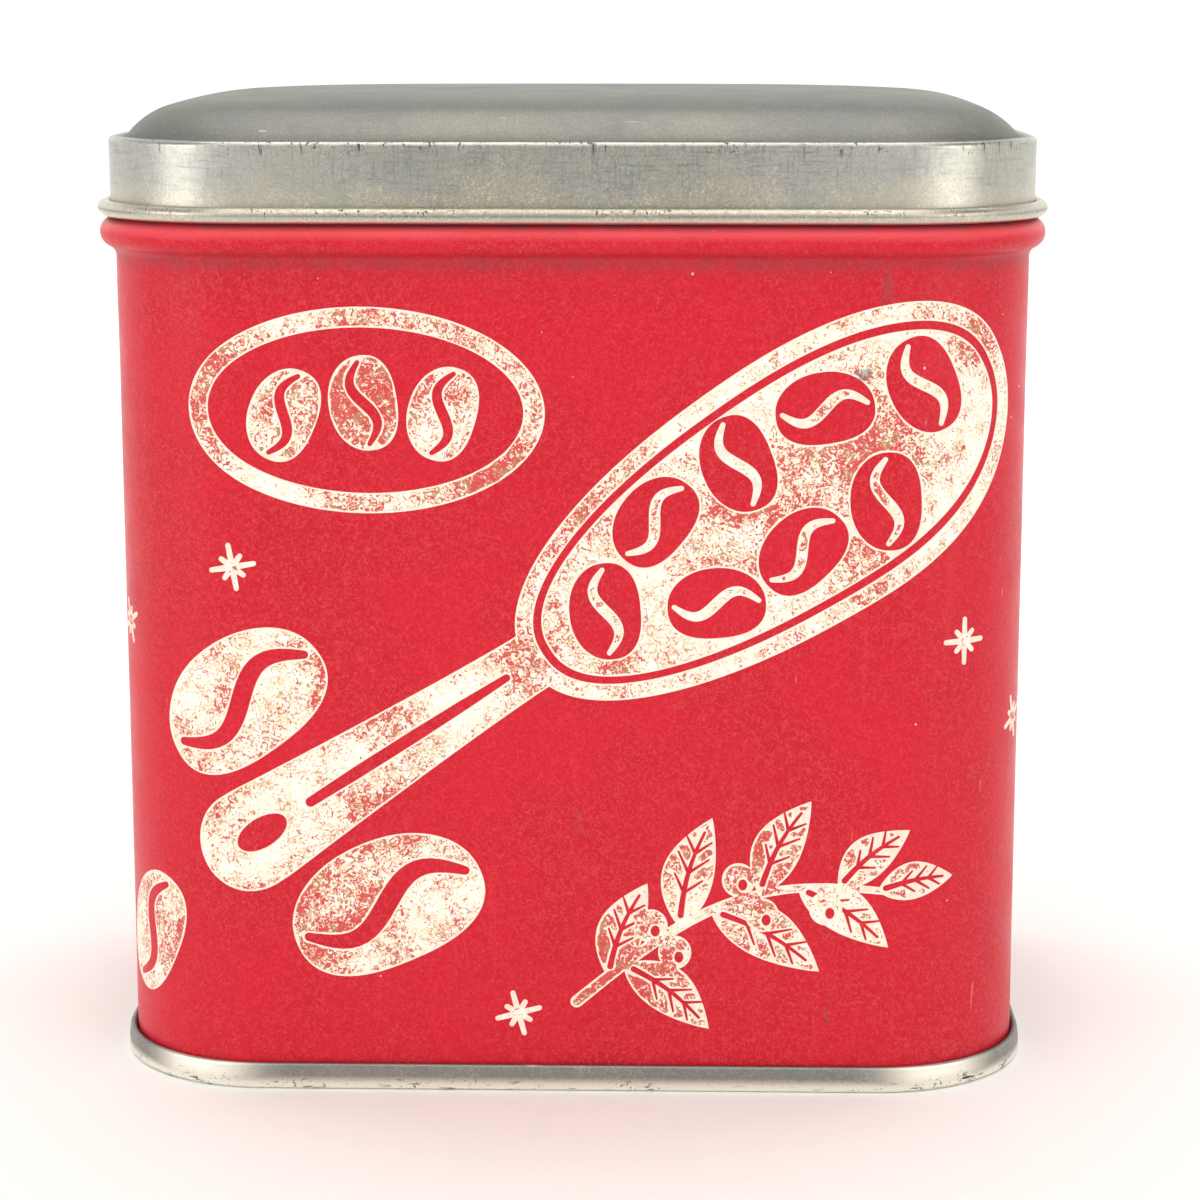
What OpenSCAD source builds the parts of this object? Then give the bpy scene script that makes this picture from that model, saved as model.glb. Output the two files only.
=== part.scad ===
// Rounded-rectangular slip-lid tin: a rolled tinplate body with an outward stop bead and a plain neck,
// a recessed bottom end held on by a double seam, and a drawn lid with a pillow-shaped top.
// Millimetres, +Z up, origin at the centre of the face that the tin stands on, front towards -Y.
//
// Every ring-shaped piece is one cross-section swept round the tin. A cross-section's first number is
// the outset, measured outwards from the outer face of the body wall, and its second is the height.

/* [Body] */
// Width of the body wall, outside
body_w = 110; // [90:1:140]
// Depth of the body wall, outside
body_d = 76; // [70:1:110]
// Radius of the body's upright corners, outside
corner_r = 18; // [18:0.5:30]
// Thickness of the body sheet
body_t = 0.28; // [0.2:0.01:0.32]
// Height of the middle of the stop bead
bead_z = 102.3; // [60:0.1:200]
// How far the stop bead stands out of the wall
bead_r = 1.85; // [1.2:0.05:2.2]
// Radius of the hollow curve on each side of the stop bead
bead_fillet_r = 1.3; // [0.8:0.1:1.6]
// Height of the neck above the middle of the stop bead
neck_h = 10.1; // [7:0.1:10.1]
// Radius of the inward curl round the mouth
mouth_curl_r = 0.9; // [0.7:0.05:1.2]

/* [Side seam] */
// Width of the folded side seam inside the back wall
side_seam_w = 5; // [3:0.5:8]
// Thickness of the folds that stand proud inside
side_seam_t = 0.56; // [0.4:0.02:0.8]

/* [Bottom] */
// Height of the double seam
seam_h = 3.2; // [2.8:0.1:3.6]
// How far the double seam stands out of the wall
seam_out = 1.14; // [1.1:0.01:1.3]
// Thickness of the bottom end's sheet
end_t = 0.28; // [0.2:0.01:0.28]
// Height of the recessed panel's border above the ground
panel_z = 4.6; // [4:0.1:6]
// Width of the panel's border, from the chuck wall to the step
panel_border = 8; // [4:0.5:12]
// Rise of the panel's middle above its border
panel_step = 0.8; // [0.4:0.1:1.5]

/* [Lid] */
// Thickness of the lid's sheet
lid_t = 0.25; // [0.2:0.01:0.28]
// Gap between the neck and the inside of the lid's skirt
lid_gap = 0.28; // [0.25:0.01:0.4]
// Height of the lid's flat ledge above the middle of the stop bead
ledge_h = 11.3; // [10.9:0.1:13]
// Width of the ledge, from the skirt's outer face to the foot of the dome
ledge_w = 2.1; // [1.5:0.1:4]
// Radius of the edge between the skirt and the ledge
ledge_edge_r = 0.6; // [0.4:0.05:1]
// Rise of the dome's shoulder
shoulder_h = 4; // [2:0.1:6]
// Inward distance over which the shoulder levels out
shoulder_w = 3; // [1.5:0.1:4]
// Further rise of the crown, from the shoulder to the middle
crown_h = 1.4; // [0.5:0.1:2.5]
// Width of the curl round the lid's lower edge
lid_curl_w = 1.75; // [1.5:0.05:2.2]
// Height of the curl round the lid's lower edge
lid_curl_h = 1.9; // [1.8:0.05:2.6]
// Height of the curl's lowest point above the top of the stop bead
lid_curl_lift = 0.1; // [0.1:0.05:0.5]

/* [Hidden] */
$fn = 96;
// How many straight pieces stand for an arc: of a fold, a small bend, the bead, or a rolled curl
arc_steps = 8;
bend_steps = 5;
bead_steps = 10;
curl_steps = 18;

// Layers of the double seam, from the body wall outwards: cover hook, body hook and seaming wall,
// with the same gap between every two.
seam_gap = (seam_out - body_t - 2 * end_t) / 3;
cover_hook_in = seam_gap;
cover_hook_out = cover_hook_in + end_t;
body_hook_in = cover_hook_out + seam_gap;
body_hook_out = body_hook_in + body_t;
seam_wall_in = body_hook_out + seam_gap;
// Room that the fold leaves above the tip of the body hook
body_hook_drop = 0.9;
body_hook_top = seam_h - body_hook_drop;
cover_hook_tip = 1.1;
chuck_gap = 0.06;
chuck_out = -body_t - chuck_gap;
chuck_in = chuck_out - end_t;
seam_foot_r = 0.6;
seam_fold_r = (seam_out - cover_hook_in) / 2;
hook_turn_r = (body_hook_out + body_t) / 2;
hook_turn_z = end_t + seam_gap + hook_turn_r;
compound_clear = 0.04;
compound_h = 0.36;

bead_fillet_dz = sqrt(pow(bead_r + bead_fillet_r, 2) - pow(bead_fillet_r, 2));
bead_fillet_angle = atan(bead_fillet_dz / bead_fillet_r);
mouth_z = bead_z + neck_h;
// Angle left open at the end of each curl
curl_open = 70;
side_seam_z0 = panel_z + panel_step + 2 * end_t;
side_seam_z1 = bead_z - bead_fillet_dz - body_t;

panel_r = 0.8;
step_w = 1.2;

skirt_in = lid_gap;
skirt_out = skirt_in + lid_t;
curl_a = lid_curl_w / 2;
curl_b = lid_curl_h / 2;
curl_z = bead_z + bead_r + lid_curl_lift + curl_b;
ledge_z = bead_z + ledge_h;
dome_foot = skirt_out - ledge_w;
// The shoulder is swept until the corner's radius is used up, and the crown's middle fills the rest.
shoulder_span = corner_r + dome_foot;
dome_half_d = body_d / 2 + dome_foot;
shoulder_steps = 18;
crown_steps = 8;
// Over 1, this puts the shoulder's points closer together at its foot, where it bends most
shoulder_crowding = 1.6;

// Points on an ellipse's arc, from angle a0 to a1
function arc(x, z, rx, rz, a0, a1, steps = arc_steps) = [
    for (i = [0:steps]) let (a = a0 + (a1 - a0) * i / steps) [x + rx * cos(a), z + rz * sin(a)]
];

// Height and slope of the lid's dome above its foot, at a distance s inwards from the foot
function dome_rise(s) = shoulder_h * (1 - exp(-s / shoulder_w)) + crown_h * (1 - pow(1 - s / dome_half_d, 2));
function dome_slope(s) = shoulder_h / shoulder_w * exp(-s / shoulder_w)
    + 2 * crown_h / dome_half_d * (1 - s / dome_half_d);
// A point on the dome's outer face, or on its inner face when depth is the sheet's thickness
function dome_point(s, depth) = let (a = atan(dome_slope(s)))
    [s + depth * sin(a), ledge_z + dome_rise(s) - depth * cos(a)];
function shoulder_s(i) = shoulder_span * pow(i / shoulder_steps, shoulder_crowding);
function crown_s(i) = shoulder_span + (dome_half_d - shoulder_span) * i / crown_steps;

// Sweeps a cross-section round a rounded rectangle that follows the body wall
module ring(profile) {
    for (side = [0, 1]) mirror([side, 0, 0])
        for (end = [0, 1]) mirror([0, end, 0])
            translate([body_w / 2 - corner_r, body_d / 2 - corner_r, 0])
                rotate_extrude(angle = 90)
                    translate([corner_r, 0]) polygon(profile);
    for (side = [0, 1]) mirror([side, 0, 0])
        translate([body_w / 2, body_d / 2 - corner_r, 0])
            rotate([90, 0, 0])
                linear_extrude(body_d - 2 * corner_r) polygon(profile);
    for (end = [0, 1]) mirror([0, end, 0])
        translate([body_w / 2 - corner_r, body_d / 2, 0])
            rotate([90, 0, -90]) mirror([1, 0, 0])
                linear_extrude(body_w - 2 * corner_r) polygon(profile);
}

// A flat rounded rectangle whose edge lies at the given outset from the body wall
module plate(outset, z, t) {
    r = corner_r + outset;
    for (w = [[body_w / 2 + outset, body_d / 2 - corner_r], [body_w / 2 - corner_r, body_d / 2 + outset]])
        translate([-w[0], -w[1], z]) cube([2 * w[0], 2 * w[1], t]);
    for (x = [-1, 1], y = [-1, 1])
        translate([x * (body_w / 2 - corner_r), y * (body_d / 2 - corner_r), z]) cylinder(r = r, h = t);
}

// One face of the body sheet through the bead: depth is how far that face lies behind the outer face
function bead_face(depth) = concat(
    arc(bead_fillet_r, bead_z - bead_fillet_dz, bead_fillet_r + depth, bead_fillet_r + depth,
        180, 180 - bead_fillet_angle, bend_steps),
    arc(0, bead_z, bead_r - depth, bead_r - depth, -bead_fillet_angle, bead_fillet_angle, bead_steps),
    arc(bead_fillet_r, bead_z + bead_fillet_dz, bead_fillet_r + depth, bead_fillet_r + depth,
        180 + bead_fillet_angle, 180, bend_steps)
);

function reversed(list) = [for (i = [len(list) - 1:-1:0]) list[i]];

module body_shell() {
    turn_in_r = hook_turn_r - body_t;
    turn_x = hook_turn_r - body_t;
    curl_in_r = mouth_curl_r - body_t;
    outer = concat(
        [[body_hook_in, body_hook_top]],
        arc(turn_x, hook_turn_z, turn_in_r, turn_in_r, 360, 180),
        bead_face(0),
        arc(-mouth_curl_r, mouth_z - mouth_curl_r, mouth_curl_r, mouth_curl_r, 0, 360 - curl_open,
            curl_steps)
    );
    inner = concat(
        arc(-mouth_curl_r, mouth_z - mouth_curl_r, curl_in_r, curl_in_r, 360 - curl_open, 0, curl_steps),
        reversed(bead_face(body_t)),
        arc(turn_x, hook_turn_z, hook_turn_r, hook_turn_r, 180, 360),
        [[body_hook_out, body_hook_top]]
    );
    color("firebrick") {
        ring(concat(outer, inner));
        translate([-side_seam_w / 2, body_d / 2 - body_t - side_seam_t, side_seam_z0])
            cube([side_seam_w, side_seam_t + body_t / 2, side_seam_z1 - side_seam_z0]);
    }
}

module bottom_end() {
    fold_x = (seam_out + cover_hook_in) / 2;
    fold_z = seam_h - seam_fold_r;
    fold_in_r = seam_fold_r - end_t;
    foot_in_r = seam_foot_r - end_t;
    bend_r = panel_r + end_t;
    step_x = chuck_in - panel_border;
    middle_z = panel_z + panel_step;
    lower = concat(
        [[cover_hook_in, cover_hook_tip]],
        arc(fold_x, fold_z, seam_fold_r, seam_fold_r, 180, 0),
        arc(seam_out - seam_foot_r, seam_foot_r, seam_foot_r, seam_foot_r, 0, -90),
        arc(chuck_in + seam_foot_r, seam_foot_r, seam_foot_r, seam_foot_r, 270, 180),
        arc(chuck_in - panel_r, panel_z - panel_r, panel_r, panel_r, 0, 90),
        [[step_x, panel_z], [step_x - step_w, middle_z]]
    );
    upper = concat(
        [[step_x - step_w, middle_z + end_t], [step_x, panel_z + end_t]],
        arc(chuck_in - panel_r, panel_z - panel_r, bend_r, bend_r, 90, 0),
        arc(chuck_in + seam_foot_r, seam_foot_r, foot_in_r, foot_in_r, 180, 270),
        arc(seam_out - seam_foot_r, seam_foot_r, foot_in_r, foot_in_r, -90, 0),
        arc(fold_x, fold_z, fold_in_r, fold_in_r, 0, 180),
        [[cover_hook_out, cover_hook_tip]]
    );
    color("silver") {
        ring(concat(lower, upper));
        plate(step_x - step_w, middle_z, end_t);
    }
}

// The ring of sealing compound that fills the fold above the body hook
module seam_compound() {
    x0 = cover_hook_out + compound_clear;
    x1 = seam_wall_in - compound_clear;
    z0 = body_hook_top + compound_clear;
    z1 = z0 + compound_h;
    color("dimgray") ring([[x0, z0], [x1, z0], [x1, z1], [x0, z1]]);
}

// The part of the dome that lies inside the shoulder, down to the given depth below its outer face:
// two barrel vaults that cross, so that the rise depends on the distance to the nearest side
module crown(depth, floor_z) {
    base_w = body_w / 2 - corner_r;
    base_d = body_d / 2 - corner_r;
    rise = [for (i = [0:crown_steps]) dome_point(crown_s(i), depth)[1]];
    run = [for (i = [0:crown_steps]) crown_s(i) - shoulder_span];
    intersection() {
        translate([0, base_d, 0]) rotate([90, 0, 0]) linear_extrude(2 * base_d)
            polygon(concat(
                [[-base_w, floor_z]],
                [for (i = [0:crown_steps]) [run[i] - base_w, rise[i]]],
                [for (i = [crown_steps:-1:0]) [base_w - run[i], rise[i]]],
                [[base_w, floor_z]]
            ));
        translate([-base_w, 0, 0]) rotate([90, 0, 90]) linear_extrude(2 * base_w)
            polygon(concat(
                [[-base_d, floor_z]],
                [for (i = [0:crown_steps - 1]) [run[i] - base_d, rise[i]]],
                [[0, rise[crown_steps]]],
                [for (i = [crown_steps - 1:-1:0]) [base_d - run[i], rise[i]]],
                [[base_d, floor_z]]
            ));
    }
}

module lid() {
    edge_x = skirt_out - ledge_edge_r;
    edge_z = ledge_z - ledge_edge_r;
    edge_in_r = ledge_edge_r - lid_t;
    under_z = ledge_z - lid_t;
    outer = concat(
        arc(skirt_in + curl_a, curl_z, curl_a - lid_t, curl_b - lid_t, 360 + 180 - curl_open, 180, curl_steps),
        arc(edge_x, edge_z, ledge_edge_r, ledge_edge_r, 0, 90, bend_steps),
        [for (i = [0:shoulder_steps]) let (p = dome_point(shoulder_s(i), 0)) [dome_foot - p[0], p[1]]]
    );
    inner = concat(
        [[dome_foot - shoulder_span, dome_point(shoulder_span, lid_t)[1]]],
        [for (i = [shoulder_steps - 1:-1:0]) let (p = dome_point(shoulder_s(i), lid_t))
            if (p[1] > under_z) [dome_foot - p[0], p[1]]],
        [[dome_foot - lid_t, under_z]],
        arc(edge_x, edge_z, edge_in_r, edge_in_r, 90, 0, bend_steps),
        arc(skirt_in + curl_a, curl_z, curl_a, curl_b, 180, 360 + 180 - curl_open, curl_steps)
    );
    color("gainsboro") {
        ring(concat(outer, inner));
        difference() {
            crown(0, ledge_z);
            crown(lid_t, ledge_z - 1);
        }
    }
}

body_shell();
bottom_end();
seam_compound();
lid();
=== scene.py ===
import math

import bpy
import numpy as np
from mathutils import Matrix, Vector
from mathutils.geometry import delaunay_2d_cdt


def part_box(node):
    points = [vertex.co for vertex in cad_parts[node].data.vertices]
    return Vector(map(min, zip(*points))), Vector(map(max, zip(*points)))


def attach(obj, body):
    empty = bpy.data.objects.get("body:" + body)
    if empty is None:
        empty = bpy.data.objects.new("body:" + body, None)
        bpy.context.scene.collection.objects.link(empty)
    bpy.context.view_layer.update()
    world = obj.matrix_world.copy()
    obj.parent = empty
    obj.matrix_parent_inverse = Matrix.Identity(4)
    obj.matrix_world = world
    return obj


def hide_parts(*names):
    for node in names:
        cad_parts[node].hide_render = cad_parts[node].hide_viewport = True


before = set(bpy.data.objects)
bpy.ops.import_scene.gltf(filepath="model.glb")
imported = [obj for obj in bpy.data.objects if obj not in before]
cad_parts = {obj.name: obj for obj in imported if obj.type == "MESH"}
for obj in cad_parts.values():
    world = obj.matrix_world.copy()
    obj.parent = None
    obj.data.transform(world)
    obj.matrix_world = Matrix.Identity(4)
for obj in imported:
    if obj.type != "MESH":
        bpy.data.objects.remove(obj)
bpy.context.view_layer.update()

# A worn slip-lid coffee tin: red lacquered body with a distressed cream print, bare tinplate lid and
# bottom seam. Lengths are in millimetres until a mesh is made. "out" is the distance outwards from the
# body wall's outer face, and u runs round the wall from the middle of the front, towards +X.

MM = 0.001

# --- sizes -------------------------------------------------------------------------------------------

# The body's sheet, its upright corners, the stop bead and the hollows on both sides of the bead
SHEET = 0.28
CORNER_R = 18.0
BEAD_R = 1.85
BEAD_FILLET = 1.3
# The inward curl round the mouth: its radius and the angle left open at its end
MOUTH_CURL_R = 0.9
MOUTH_OPEN = 70.0
# The folded side seam inside the back wall
SIDE_SEAM_W = 5.0
SIDE_SEAM_RISE = 0.56
# The lid: sheet, clearance on the neck, ledge, height of the ledge above the bead's middle, and dome
LID_SHEET = 0.25
LID_GAP = 0.28
LEDGE_W = 2.1
LEDGE_EDGE_R = 0.6
LEDGE_H = 11.3
CROWN = 1.4
SHOULDER_W = 3.0
# The outward curl round the lid: half width, half height, open angle, and its lift above the bead
CURL_A = 0.875
CURL_B = 0.95
CURL_OPEN = 52.0
CURL_LIFT = 0.1
# The double seam: height, room above the body hook, lower tip of the cover hook, foot, chuck wall's gap
SEAM_H = 3.2
HOOK_DROP = 0.9
COVER_TIP_Z = 1.1
SEAM_FOOT_R = 0.6
CHUCK_GAP = 0.06
# The recessed panel: height, bend at its foot, border, and the step up to its middle
PANEL_Z = 4.6
PANEL_BEND_R = 0.8
PANEL_BORDER = 8.0
PANEL_STEP = 0.8
PANEL_STEP_W = 1.2

body_low, body_high = (np.array(c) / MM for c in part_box("body_shell"))
_, end_high = (np.array(c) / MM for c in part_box("bottom_end"))
lid_low, lid_high = (np.array(c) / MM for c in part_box("lid"))
BODY_W = body_high[0] - body_low[0] - 2 * BEAD_R
BODY_D = body_high[1] - body_low[1] - 2 * BEAD_R
MOUTH_Z = body_high[2]
CURL_Z = lid_low[2] + CURL_B
BEAD_Z = lid_low[2] - BEAD_R - CURL_LIFT
LEDGE_Z = BEAD_Z + LEDGE_H
DOME_FOOT = LID_GAP + LID_SHEET - LEDGE_W
SHOULDER = lid_high[2] - LEDGE_Z - CROWN
SEAM_OUT = end_high[0] - BODY_W / 2

FLAT_X = BODY_W / 2 - CORNER_R
FLAT_Y = BODY_D / 2 - CORNER_R
ARC = math.pi / 2 * CORNER_R
AROUND = 4 * (FLAT_X + FLAT_Y + ARC)

# Columns of the swept meshes along a wide side, a deep side and a corner
WIDE_COLUMNS = 26
DEEP_COLUMNS = 14
CORNER_COLUMNS = 20


# --- the wall's outline ------------------------------------------------------------------------------

def around(u):
    """Base points on the wall's outer face and outward normals, for an array of distances u round it."""
    q = np.mod(np.asarray(u, float), AROUND)
    lengths = [FLAT_X, ARC, 2 * FLAT_Y, ARC, 2 * FLAT_X, ARC, 2 * FLAT_Y, ARC, FLAT_X]
    starts = np.concatenate([[0], np.cumsum(lengths)])
    base = np.zeros(q.shape + (2,))
    normal = np.zeros(q.shape + (2,))
    for i in range(len(lengths)):
        on = (q >= starts[i]) & (q <= starts[i + 1])
        run = q[on] - starts[i]
        quarter = i // 2
        turn = -math.pi / 2 + quarter * math.pi / 2
        if i % 2:
            angle = turn + run / CORNER_R
            centre = corner_centre(quarter)
            n = np.stack([np.cos(angle), np.sin(angle)], -1)
            base[on] = centre + CORNER_R * n
        else:
            n = np.broadcast_to([math.cos(turn), math.sin(turn)], run.shape + (2,))
            along = np.array([-math.sin(turn), math.cos(turn)])
            begin = corner_centre(quarter - 1) + CORNER_R * n[:1]
            if i == 0:
                begin = np.array([0, -BODY_D / 2])
            base[on] = begin + run[:, None] * along
        normal[on] = n
    return base, normal


def corner_centre(quarter):
    """Centre of a corner: 0 to 3 are front right, back right, back left and front left."""
    signs = [(1, -1), (1, 1), (-1, 1), (-1, -1)][quarter % 4]
    return np.array([signs[0] * FLAT_X, signs[1] * FLAT_Y])


def stations():
    """Distances u of the columns that every swept mesh has: closer together round the corners."""
    corner = ARC * np.arange(CORNER_COLUMNS) / CORNER_COLUMNS
    wide = 2 * FLAT_X * np.arange(WIDE_COLUMNS) / WIDE_COLUMNS
    deep = 2 * FLAT_Y * np.arange(DEEP_COLUMNS) / DEEP_COLUMNS
    u, at = [], -FLAT_X
    for run, length in ((wide, 2 * FLAT_X), (corner, ARC), (deep, 2 * FLAT_Y), (corner, ARC)) * 2:
        u.append(at + run)
        at += length
    return np.concatenate(u)


def outset(points):
    """How far each point lies outside the wall's outer face."""
    p = np.array([(abs(v[0]), abs(v[1])) for v in points])
    past = p - [FLAT_X, FLAT_Y]
    corner = np.hypot(*np.maximum(past, 0).T) + np.minimum(past.max(axis=1), 0)
    return corner - CORNER_R


def ripple(u, z, amount, seed, stretch=1.0):
    """A gentle unevenness of the sheet, 0 to amount inwards, that repeats round the tin."""
    rng = np.random.default_rng(seed)
    total = np.zeros(np.broadcast(u, z).shape)
    for waves in (3, 5, 8, 13, 19):
        phase, lean = rng.uniform(0, 2 * math.pi), rng.uniform(-1, 1)
        total += np.sin(2 * math.pi * waves * u / AROUND + lean * stretch * z / 9 + phase) / waves ** 0.6
    return -amount * (0.5 + 0.5 * np.tanh(total))


U = stations()
BASE, NORMAL = around(U)


def ring(out, z, wave=0.0):
    """One closed loop of points at the given outset and height, with a wave added to the outset."""
    outsets = np.broadcast_to(out + wave, len(U))
    return np.column_stack([BASE + outsets[:, None] * NORMAL, np.full(len(U), z)])


def arc(x, z, rx, rz, a0, a1, steps=10):
    """Points on an ellipse's arc between two angles in degrees."""
    a = np.radians(np.linspace(a0, a1, steps + 1))
    return [(x + rx * math.cos(t), z + rz * math.sin(t)) for t in a]


# --- mesh building -----------------------------------------------------------------------------------

def make_object(name, verts, faces, materials, smooth_angle=38):
    """A mesh object from points in millimetres."""
    mesh = bpy.data.meshes.new(name)
    mesh.from_pydata([tuple(v) for v in np.asarray(verts) * MM], [], faces)
    mesh.validate()
    mesh.shade_smooth()
    mesh.set_sharp_from_angle(angle=math.radians(smooth_angle))
    obj = bpy.data.objects.new(name, mesh)
    bpy.context.scene.collection.objects.link(obj)
    for m in materials:
        mesh.materials.append(m)
    return obj


def bridge(loops, closed):
    """Quads between neighbouring loops of equal length, with the last joined to the first if closed."""
    n = len(loops[0])
    faces = []
    for i in range(len(loops) if closed else len(loops) - 1):
        j = (i + 1) % len(loops)
        for k in range(n):
            after = (k + 1) % n
            faces.append((i * n + k, i * n + after, j * n + after, j * n + k))
    return faces


def cap(faces, verts, loop, height, flip):
    """Closes a loop with a fan to one point at its middle."""
    verts.append((0.0, 0.0, height))
    tip, n = len(verts) - 1, len(loop)
    for k in range(n):
        a, b = loop[k], loop[(k + 1) % n]
        faces.append((b, a, tip) if flip else (a, b, tip))


def set_attribute(obj, name, values):
    """Stores one number for each vertex."""
    layer = obj.data.attributes.new(name, "FLOAT", "POINT")
    layer.data.foreach_set("value", np.asarray(values, np.float32))


# --- node materials ----------------------------------------------------------------------------------

class Nodes:
    """A few shorthands for building a node tree."""

    def __init__(self, name):
        self.material = bpy.data.materials.new(name)
        self.material.use_nodes = True
        self.tree = self.material.node_tree
        self.shader = self.tree.nodes["Principled BSDF"]
        self.place = self.add("ShaderNodeTexCoord").outputs["Object"]

    def add(self, kind, **settings):
        """A new node with its settings."""
        node = self.tree.nodes.new(kind)
        for key, value in settings.items():
            setattr(node, key, value)
        return node

    def feed(self, socket, value):
        """Links an output to a socket, or sets the socket if the value is a plain one."""
        if isinstance(value, bpy.types.NodeSocket):
            self.tree.links.new(value, socket)
        else:
            socket.default_value = value

    def noise(self, scale, detail=3.0, rough=0.55, stretch=(1, 1, 1), distort=0.0, shift=(0, 0, 0)):
        """A cloudy noise. A stretch under 1 along an axis draws it out along that axis."""
        mapping = self.add("ShaderNodeMapping")
        mapping.inputs["Scale"].default_value = stretch
        mapping.inputs["Location"].default_value = shift
        self.feed(mapping.inputs["Vector"], self.place)
        node = self.add("ShaderNodeTexNoise")
        self.feed(node.inputs["Vector"], mapping.outputs["Vector"])
        node.inputs["Scale"].default_value = scale
        node.inputs["Detail"].default_value = detail
        node.inputs["Roughness"].default_value = rough
        node.inputs["Distortion"].default_value = distort
        return node.outputs["Fac"]

    def cells(self, scale):
        """Distance to the nearest of many scattered points."""
        node = self.add("ShaderNodeTexVoronoi")
        self.feed(node.inputs["Vector"], self.place)
        node.inputs["Scale"].default_value = scale
        return node.outputs["Distance"]

    def ramp(self, value, low, high, out_low=0.0, out_high=1.0):
        """Maps low..high to out_low..out_high, smoothly and clamped."""
        node = self.add("ShaderNodeMapRange", interpolation_type="SMOOTHSTEP")
        self.feed(node.inputs["Value"], value)
        limits = {"From Min": low, "From Max": high, "To Min": out_low, "To Max": out_high}
        for key, number in limits.items():
            node.inputs[key].default_value = number
        return node.outputs["Result"]

    def math(self, operation, a, b=0.0, clamp=False):
        node = self.add("ShaderNodeMath", operation=operation, use_clamp=clamp)
        self.feed(node.inputs[0], a)
        self.feed(node.inputs[1], b)
        return node.outputs[0]

    def threads(self, scale, width, shift=(0, 0, 0)):
        """Thin wandering threads: 1 along the middle level of a noise and 0 away from it."""
        level = self.noise(scale, 2, 0.5, distort=1.0, shift=shift)
        off = self.math("ABSOLUTE", self.math("SUBTRACT", level, 0.5))
        return self.ramp(off, 0.0, width, 1.0, 0.0)

    def mix(self, factor, a, b):
        """Mixes two colours, each an output or three numbers."""
        node = self.add("ShaderNodeMix", data_type="RGBA")
        self.feed(node.inputs[0], factor)
        for socket, value in ((node.inputs[6], a), (node.inputs[7], b)):
            self.feed(socket, value if isinstance(value, bpy.types.NodeSocket) else (*value, 1.0))
        return node.outputs[2]

    def attribute(self, name):
        """A number stored on the vertices."""
        return self.add("ShaderNodeAttribute", attribute_name=name).outputs["Fac"]

    def spot(self, centre, size):
        """An ellipsoid round a point, both in millimetres: 1 inside and 0 outside, with a ragged edge."""
        away = self.add("ShaderNodeVectorMath", operation="SUBTRACT")
        self.feed(away.inputs[0], self.place)
        away.inputs[1].default_value = [c * MM for c in centre]
        share = self.add("ShaderNodeVectorMath", operation="DIVIDE")
        self.feed(share.inputs[0], away.outputs[0])
        share.inputs[1].default_value = [c * MM for c in size]
        length = self.add("ShaderNodeVectorMath", operation="LENGTH")
        self.feed(length.inputs[0], share.outputs[0])
        rough_edge = self.ramp(self.noise(1500, 3), 0.3, 0.7, -0.45, 0.45)
        return self.ramp(self.math("ADD", length.outputs["Value"], rough_edge), 0.5, 1.0, 1.0, 0.0)

    def height(self):
        """Height above the ground, in millimetres."""
        split = self.add("ShaderNodeSeparateXYZ")
        self.feed(split.inputs[0], self.place)
        return self.math("MULTIPLY", split.outputs["Z"], 1 / MM)

    def bump(self, value, depth, previous=None):
        """Adds a bump whose full height is depth millimetres."""
        node = self.add("ShaderNodeBump")
        node.inputs["Strength"].default_value = 1.0
        node.inputs["Distance"].default_value = depth * MM
        self.feed(node.inputs["Height"], value)
        if previous is not None:
            self.feed(node.inputs["Normal"], previous)
        return node.outputs["Normal"]

    def finish(self, color, roughness, metallic=0.0, normal=None, **constants):
        """Joins everything to the shader, sets its constants and gives the material."""
        for key, value in (("Base Color", color), ("Roughness", roughness), ("Metallic", metallic)):
            self.feed(self.shader.inputs[key], value)
        if normal is not None:
            self.feed(self.shader.inputs["Normal"], normal)
        for key, value in constants.items():
            self.shader.inputs[key.replace("_", " ")].default_value = value
        return self.material


# Lacquer, and what lies on it or shows through it
RED = (0.63, 0.012, 0.030)
RED_DEEP = (0.56, 0.011, 0.025)
RED_PALE = (0.80, 0.09, 0.11)
RED_DARK = (0.38, 0.004, 0.010)
SCRATCH = (0.80, 0.36, 0.32)
SPECK = (0.85, 0.66, 0.52)
# Dust, painted shade and a painted shadow: under the bead, and under the lid's curl
DUST_AND_SHADOW = (0.26, 0.05, 0.06)
SMUDGE = (0.16, 0.08, 0.09)
RUB_MARK = (0.13, 0.12, 0.14)
# Ink, its outline and its flecks
CREAM = (0.96, 0.89, 0.73)
CREAM_PALE = (0.98, 0.955, 0.87)
INK_EDGE = (0.88, 0.46, 0.38)
PEACH = (0.88, 0.56, 0.34)
INK_STAIN = (0.46, 0.18, 0.07)
RUST = (0.60, 0.03, 0.03)
# Bare tinplate outside, its nicks, and its inside
TIN = (0.435, 0.435, 0.375)
TIN_COOL = (0.395, 0.395, 0.385)
TIN_WARM = (0.48, 0.435, 0.35)
TIN_PALE = (0.72, 0.70, 0.61)
TIN_DARK = (0.10, 0.098, 0.09)
TIN_RUBBED = (0.19, 0.19, 0.215)
# Bright tin for painted highlights and painted reflections
TIN_SHEEN = (0.93, 0.905, 0.80)
NICK = (0.09, 0.085, 0.085)
INSIDE_PALE = (0.60, 0.585, 0.53)
INSIDE_DARK = (0.48, 0.46, 0.40)
INSIDE_LINE = (0.38, 0.37, 0.34)
# Sealing compound and floor
COMPOUND_DARK = (0.05, 0.05, 0.05)
COMPOUND_PALE = (0.11, 0.105, 0.10)
FLOOR = (0.86, 0.86, 0.855)
FLOOR_PALE = (0.90, 0.90, 0.895)


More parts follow.
